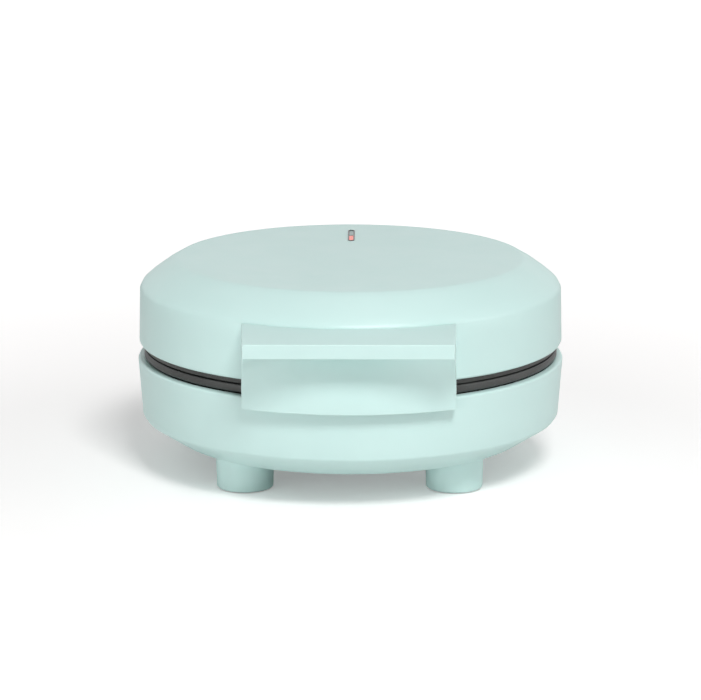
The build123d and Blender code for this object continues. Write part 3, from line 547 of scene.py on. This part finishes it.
def end_in_copies(tree, start, end, points, output):
    """Ends a tree with its piece copied to the points, made real and given its finish."""
    copy = tree.nodes.new("GeometryNodeObjectInfo")
    copy.inputs["As Instance"].default_value = True
    place = tree.nodes.new("GeometryNodeInstanceOnPoints")
    real = tree.nodes.new("GeometryNodeRealizeInstances")
    finish = tree.nodes.new("GeometryNodeSetMaterial")
    wire(tree, start, "Piece", copy, "Object")
    wire(tree, points, output, place, "Points")
    wire(tree, copy, "Geometry", place, "Instance")
    wire(tree, place, "Instances", real, "Geometry")
    wire(tree, real, "Geometry", finish, "Geometry")
    wire(tree, start, "Finish", finish, "Material")
    wire(tree, finish, "Geometry", end, "Geometry")


def honeycomb_tree():
    """Copies of one piece on a honeycomb: the middle place and whole rings of places round it."""
    tree, start, end = new_tree(
        "honeycomb", {"Piece": "Object", "Pitch": "Float", "Rings": "Int", "Finish": "Material"}
    )
    side = maths(tree, "MULTIPLY", (start, "Rings"), 2)
    count = maths(tree, "ADD", (side, 0), 1)
    grid = tree.nodes.new("GeometryNodeMeshGrid")
    for axis in ("X", "Y"):
        wire(tree, side, 0, grid, "Size " + axis)
        wire(tree, count, 0, grid, "Vertices " + axis)
    where = tree.nodes.new("GeometryNodeInputPosition")
    split = tree.nodes.new("ShaderNodeSeparateXYZ")
    wire(tree, where, "Position", split, "Vector")

    # On a grid of whole numbers, the places outside the hexagon are those whose X and Y add up to too much.
    diagonal = maths(tree, "ABSOLUTE", (maths(tree, "ADD", (split, "X"), (split, "Y")), 0))
    limit = maths(tree, "ADD", (start, "Rings"), 0.5)
    outside = maths(tree, "GREATER_THAN", (diagonal, 0), (limit, 0))

    # Each row shifts by half a place and closes up, which turns the square grid into a honeycomb.
    column = maths(tree, "ADD", (split, "X"), (maths(tree, "MULTIPLY", (split, "Y"), 0.5), 0))
    row = maths(tree, "MULTIPLY", (split, "Y"), sqrt(3) / 2)
    skewed = tree.nodes.new("ShaderNodeCombineXYZ")
    wire(tree, maths(tree, "MULTIPLY", (column, 0), (start, "Pitch")), 0, skewed, "X")
    wire(tree, maths(tree, "MULTIPLY", (row, 0), (start, "Pitch")), 0, skewed, "Y")

    points = tree.nodes.new("GeometryNodeMeshToPoints")
    trim = tree.nodes.new("GeometryNodeDeleteGeometry")
    trim.domain = "POINT"
    move = tree.nodes.new("GeometryNodeSetPosition")
    wire(tree, grid, "Mesh", points, "Mesh")
    wire(tree, points, "Points", trim, "Geometry")
    wire(tree, outside, 0, trim, "Selection")
    wire(tree, trim, "Geometry", move, "Geometry")
    wire(tree, skewed, "Vector", move, "Position")
    end_in_copies(tree, start, end, move, "Geometry")
    return tree


def grown(name, tree, settings):
    """Runs a node tree on an empty object, with settings by socket name, and keeps a plain mesh of it."""
    seed = bpy.data.objects.new(name + "_seed", bpy.data.meshes.new(name + "_seed"))
    bpy.context.scene.collection.objects.link(seed)
    run_tree(seed, "grow", tree, settings)
    bpy.context.view_layer.update()
    seen = seed.evaluated_get(bpy.context.evaluated_depsgraph_get())
    mesh = bpy.data.meshes.new_from_object(seen)
    mesh.name = name
    bpy.data.objects.remove(seed)
    piece = bpy.data.objects.new(name, mesh)
    bpy.context.scene.collection.objects.link(piece)
    return piece


def set_in_place(piece, lift, over=False):
    """Raises a piece, turned over about Y first if asked, with the place kept in its mesh."""
    turn = Matrix.Rotation(pi, 4, "Y") if over else Matrix.Identity(4)
    piece.data.transform(Matrix.Translation((0, 0, lift)) @ turn)
    piece.data.update()


honeycomb = honeycomb_tree()
cup = mould_cup()
for name, body, height, over in (
    ("lower_mould_cups", "base", LOWER_FACE, False),
    ("upper_mould_cups", "lid", UPPER_FACE, True),
):
    settings = {"Piece": cup, "Pitch": MOULD_PITCH, "Rings": MOULD_RINGS, "Finish": coating}
    cups = grown(name, honeycomb, settings)
    set_in_place(cups, height, over)
    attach(cups, body)
bpy.data.objects.remove(cup)


# Signal window: a gloss black frame pushed up through a slot in the lid, with a red lens in front and a smoky
# green one behind. All three are moulded plastic, and the lenses are clear, with a neon lamp under each. Both
# lenses are given emission of their own, a painted glow that stands in for the light of the lamps under them.
BEZEL_DARK = (0.012, 0.012, 0.012)
BEZEL_LIGHT = (0.024, 0.024, 0.024)
RED_DEEP = (0.66, 0.06, 0.04)
RED_PALE = (0.82, 0.13, 0.09)
RED_PAINTED_GLOW = (1, 0.22, 0.14)
GREEN_DEEP = (0.12, 0.21, 0.20)
GREEN_PALE = (0.20, 0.31, 0.29)
GREEN_PAINTED_GLOW = (0.3, 0.5, 0.48)


def gloss_black():
    material, tree, shader = new_material("gloss_black")
    mottle(
        tree, shader, scale=300.0, detail=3.0, colours=(BEZEL_DARK, BEZEL_LIGHT), roughness=(0.18, 0.3)
    )
    grain(tree, shader, scale=1500.0, height=0.00001, strength=0.2)
    return material


def clear_plastic(name, deep, pale, glow, shine):
    material, tree, shader = new_material(name)
    mottle(tree, shader, scale=420.0, detail=3.0, colours=(deep, pale), roughness=(0.10, 0.2))
    set_inputs(
        shader,
        {
            "Specular IOR Level": 0.25,
            "Transmission Weight": 0.1,
            "Emission Color": (*glow, 1),
            "Emission Strength": shine,
        },
    )
    grain(tree, shader, scale=900.0, height=0.00002, strength=0.2)
    return material


paint(("lamp_bezel",), gloss_black())
# Painted glow: the red and the green lens emit light themselves, in place of the neon lamps lighting them
# from behind.
paint(("lamp_lens_red",), clear_plastic("red_lens", RED_DEEP, RED_PALE, RED_PAINTED_GLOW, shine=0.3))
paint(("lamp_lens_green",), clear_plastic("green_lens", GREEN_DEEP, GREEN_PALE, GREEN_PAINTED_GLOW, shine=0.04))


# Feet: round pads of soft grey rubber, moulded with two raised rings that grip the table, and pushed up into
# the four hollow feet.
RUBBER_DARK = (0.085, 0.095, 0.093)
RUBBER_LIGHT = (0.13, 0.14, 0.138)
PAD_RADIUS = 0.01035
PAD_TOP = 0.00235
PAD_GROOVE = 0.0006
PAD_CHAMFER = 0.0001
PAD_WALL_FOOT = PAD_GROOVE * 1.5
PAD_RINGS = ((0.0030, 0.0052), (0.0068, 0.0099))
RING_SHOULDER = 0.0002
RING_ROUND = 0.0005
RING_STEP = PAD_GROOVE / 4
PAD_SIDES = 48
FOOT_SPACING = 0.10239


def foot_rubber():
    material, tree, shader = new_material("foot_rubber")
    mottle(
        tree, shader, scale=160.0, detail=5.0, colours=(RUBBER_DARK, RUBBER_LIGHT), roughness=(0.75, 0.9)
    )
    grain(tree, shader, scale=1200.0, height=0.00004, strength=0.5)
    return material


def corner_tree():
    """Copies of one piece at the four corners of a rectangle."""
    tree, start, end = new_tree(
        "four_corners", {"Piece": "Object", "Across": "Float", "Deep": "Float", "Finish": "Material"}
    )
    grid = tree.nodes.new("GeometryNodeMeshGrid")
    set_inputs(grid, {"Vertices X": 2, "Vertices Y": 2})
    wire(tree, start, "Across", grid, "Size X")
    wire(tree, start, "Deep", grid, "Size Y")
    end_in_copies(tree, start, end, grid, "Mesh")
    return tree


def ringed_pad():
    """Half section from the middle of the underside out over two rings and round to the top."""
    flank = ((0, PAD_GROOVE), (RING_SHOULDER, RING_STEP), (RING_ROUND, 0))
    outline = [(0, PAD_GROOVE)]
    for inner, outer in PAD_RINGS:
        outline += [(inner + step, height) for step, height in flank]
        outline += [(outer - step, height) for step, height in reversed(flank)]
    outline += [
        (PAD_RADIUS - PAD_CHAMFER, PAD_GROOVE),
        (PAD_RADIUS, PAD_WALL_FOOT),
        (PAD_RADIUS, PAD_TOP),
        (0, PAD_TOP),
    ]
    return turned("ringed_pad", outline, PAD_SIDES)


four_corners = corner_tree()
pad = ringed_pad()
settings = {"Piece": pad, "Across": FOOT_SPACING, "Deep": FOOT_SPACING, "Finish": foot_rubber()}
pads = grown("ringed_foot_pads", four_corners, settings)
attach(pads, "base")
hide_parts("foot_pads")
bpy.data.objects.remove(pad)


# Metal inside: zinc plated screws and clamps that hold a steel sheathed heater to the back of each plate,
# reflectors of bright aluminium sheet behind them, and ground steel pins in the hinge.
BARE_EDGE = (0.85, 0.85, 0.83)
SCRATCH_FINENESS = 12


def bare_metal(name, colours, roughness, scale):
    material, tree, shader = new_material(name)
    tone = mottle(tree, shader, scale, detail=6.0, colours=colours, roughness=roughness)
    wear(tree, shader, tone, BARE_EDGE, radius=0.0003, strength=0.5)
    shader.inputs["Metallic"].default_value = 1.0
    grain(tree, shader, scale * SCRATCH_FINENESS, height=0.00002, strength=0.3)
    return material


zinc = bare_metal("zinc_plate", ((0.50, 0.50, 0.47), (0.66, 0.66, 0.63)), (0.28, 0.42), scale=120.0)
sheath = bare_metal("heater_sheath", ((0.10, 0.095, 0.085), (0.20, 0.19, 0.17)), (0.4, 0.55), scale=90.0)
bright = bare_metal("reflector_sheet", ((0.70, 0.70, 0.70), (0.80, 0.80, 0.79)), (0.2, 0.34), scale=60.0)
ground = bare_metal("ground_steel", ((0.46, 0.46, 0.46), (0.60, 0.60, 0.60)), (0.2, 0.3), scale=200.0)
paint(("handle_screws", "reflector_screws", "lower_clamp_screws", "upper_clamp_screws"), zinc)
paint(("lower_heater_clamps", "upper_heater_clamps"), zinc)
paint(("lower_heater", "upper_heater"), sheath)
paint(("lower_reflector", "upper_reflector"), bright)
paint(("hinge_pins",), ground)


# Cross head screws: zinc plated steel, turned and then pressed with a tapered cross. Four hold the base
# together from below, and four countersunk ones hold the upper plate in the lid.
HEAD_RADIUS = 0.0036
HEAD_HEIGHT = 0.0024
SHANK_RADIUS = 0.0019
POINT_SHARE = 0.3
FACE_SHARE = 0.75
RIM_SHARE = 0.97
RIM_DROP = 0.4
CROSS_ARM = 0.55
CROSS_WIDTH = 0.17
CROSS_DEPTH = 0.0013
CROSS_TAPER = 0.55
CROSS_CORNERS = 12
HEAD_SIDES = 32
BASE_SCREW = {"under_radius": 0.0036, "dome": 0.0007, "shank": 0.02885}
PLATE_SCREW = {"under_radius": 0.0019, "dome": 0.0002, "shank": 0.01295}
BASE_SPACING = (0.1377, 0.0795)
PLATE_SPACING = (0.16628, 0.096)
BASE_SCREW_FACE = 0.01515
PLATE_SCREW_FACE = 0.06085


def cross_outline(reach, half, height):
    """Twelve corners of a cross, anticlockwise from above."""
    points = []
    for turn in range(4):
        for x, y in ((reach, -half), (reach, half), (half, half)):
            for _ in range(turn):
                x, y = -y, x
            points.append((x, y, height))
    return points


def cross_screw(name, under_radius, dome, shank):
    """One screw with its face up at height 0: domed face with a cross pressed in, head, shank and point."""
    levels = [
        (HEAD_RADIUS * FACE_SHARE, 0.0),
        (HEAD_RADIUS * RIM_SHARE, -dome * RIM_DROP),
        (HEAD_RADIUS, -dome),
        (under_radius, -HEAD_HEIGHT),
    ]
    if under_radius > SHANK_RADIUS:
        levels.append((SHANK_RADIUS, -HEAD_HEIGHT))
    levels += [(SHANK_RADIUS, SHANK_RADIUS - shank), (SHANK_RADIUS * POINT_SHARE, -shank)]
    points, faces = [], []
    for radius, height in levels:
        points += circle(radius, height, HEAD_SIDES)
    rings = [range(k * HEAD_SIDES, (k + 1) * HEAD_SIDES) for k in range(len(levels))]
    for high, low in zip(rings, rings[1:]):
        faces += belt(low, high)
    faces.append(tuple(reversed(rings[-1])))

    mouth = range(len(points), len(points) + CROSS_CORNERS)
    bottom = range(mouth.stop, mouth.stop + CROSS_CORNERS)
    reach, half = HEAD_RADIUS * CROSS_ARM, HEAD_RADIUS * CROSS_WIDTH
    points += cross_outline(reach, half, 0.0)
    points += cross_outline(reach * CROSS_TAPER, half * CROSS_TAPER, -CROSS_DEPTH)
    faces += belt(bottom, mouth)
    faces.append(tuple(bottom))

    piece = build_mesh(name, points, faces)
    skin = bmesh.new()
    skin.from_mesh(piece.data)
    skin.verts.ensure_lookup_table()
    borders = []
    for loop in (rings[0], mouth):
        for k, corner in enumerate(loop):
            following = loop[(k + 1) % len(loop)]
            borders.append(skin.edges.get((skin.verts[corner], skin.verts[following])))
    bmesh.ops.triangle_fill(skin, edges=borders, use_beauty=True, normal=(0, 0, 1))
    bmesh.ops.recalc_face_normals(skin, faces=skin.faces)
    skin.to_mesh(piece.data)
    skin.free()
    return piece


for name, node, body, screw_sizes, (across, deep), lift in (
    ("base_cross_screws", "base_screws", "base", BASE_SCREW, BASE_SPACING, BASE_SCREW_FACE),
    ("plate_cross_screws", "plate_screws", "lid", PLATE_SCREW, PLATE_SPACING, PLATE_SCREW_FACE),
):
    screw = cross_screw(name + "_one", **screw_sizes)
    screws = grown(name, four_corners, {"Piece": screw, "Across": across, "Deep": deep, "Finish": zinc})
    set_in_place(screws, lift, over=True)
    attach(screws, body)
    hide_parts(node)
    bpy.data.objects.remove(screw)


# Inside the shells: brown moulded thermostats and lamp holder, cream thermal fuses and terminal block, leads
# in woven glass sleeves, and two neon lamps of clear glass. A flanged plastic gland for the cord is snapped
# into the base's wall.
INSIDE_PLASTICS = (
    (
        "switch_moulding",
        ((0.030, 0.024, 0.020), (0.045, 0.036, 0.030)),
        (0.45, 0.6),
        ("lower_thermostat", "upper_thermostat", "lamp_holder"),
    ),
    (
        "terminal_moulding",
        ((0.74, 0.71, 0.62), (0.82, 0.79, 0.70)),
        (0.5, 0.65),
        ("lower_thermal_fuse", "upper_thermal_fuse", "terminal_block"),
    ),
    ("glass_braid", ((0.78, 0.76, 0.70), (0.88, 0.86, 0.80)), (0.8, 0.95), ("base_leads", "lid_leads")),
    ("gland_moulding", ((0.40, 0.58, 0.54), (0.44, 0.62, 0.58)), (0.5, 0.62), ("cord_gland",)),
)
NEON_DEEP = (0.7, 0.6, 0.5)
NEON_PALE = (0.8, 0.7, 0.6)
NEON_GLOW = (1, 0.6, 0.4)

for name, colours, roughness, pieces in INSIDE_PLASTICS:
    material, tree, shader = new_material(name)
    mottle(tree, shader, scale=90.0, detail=4.0, colours=colours, roughness=roughness)
    grain(tree, shader, scale=1600.0, height=0.00002, strength=0.3)
    paint(pieces, material)
paint(("neon_lamps",), clear_plastic("neon_glass", NEON_DEEP, NEON_PALE, NEON_GLOW, shine=0.1))
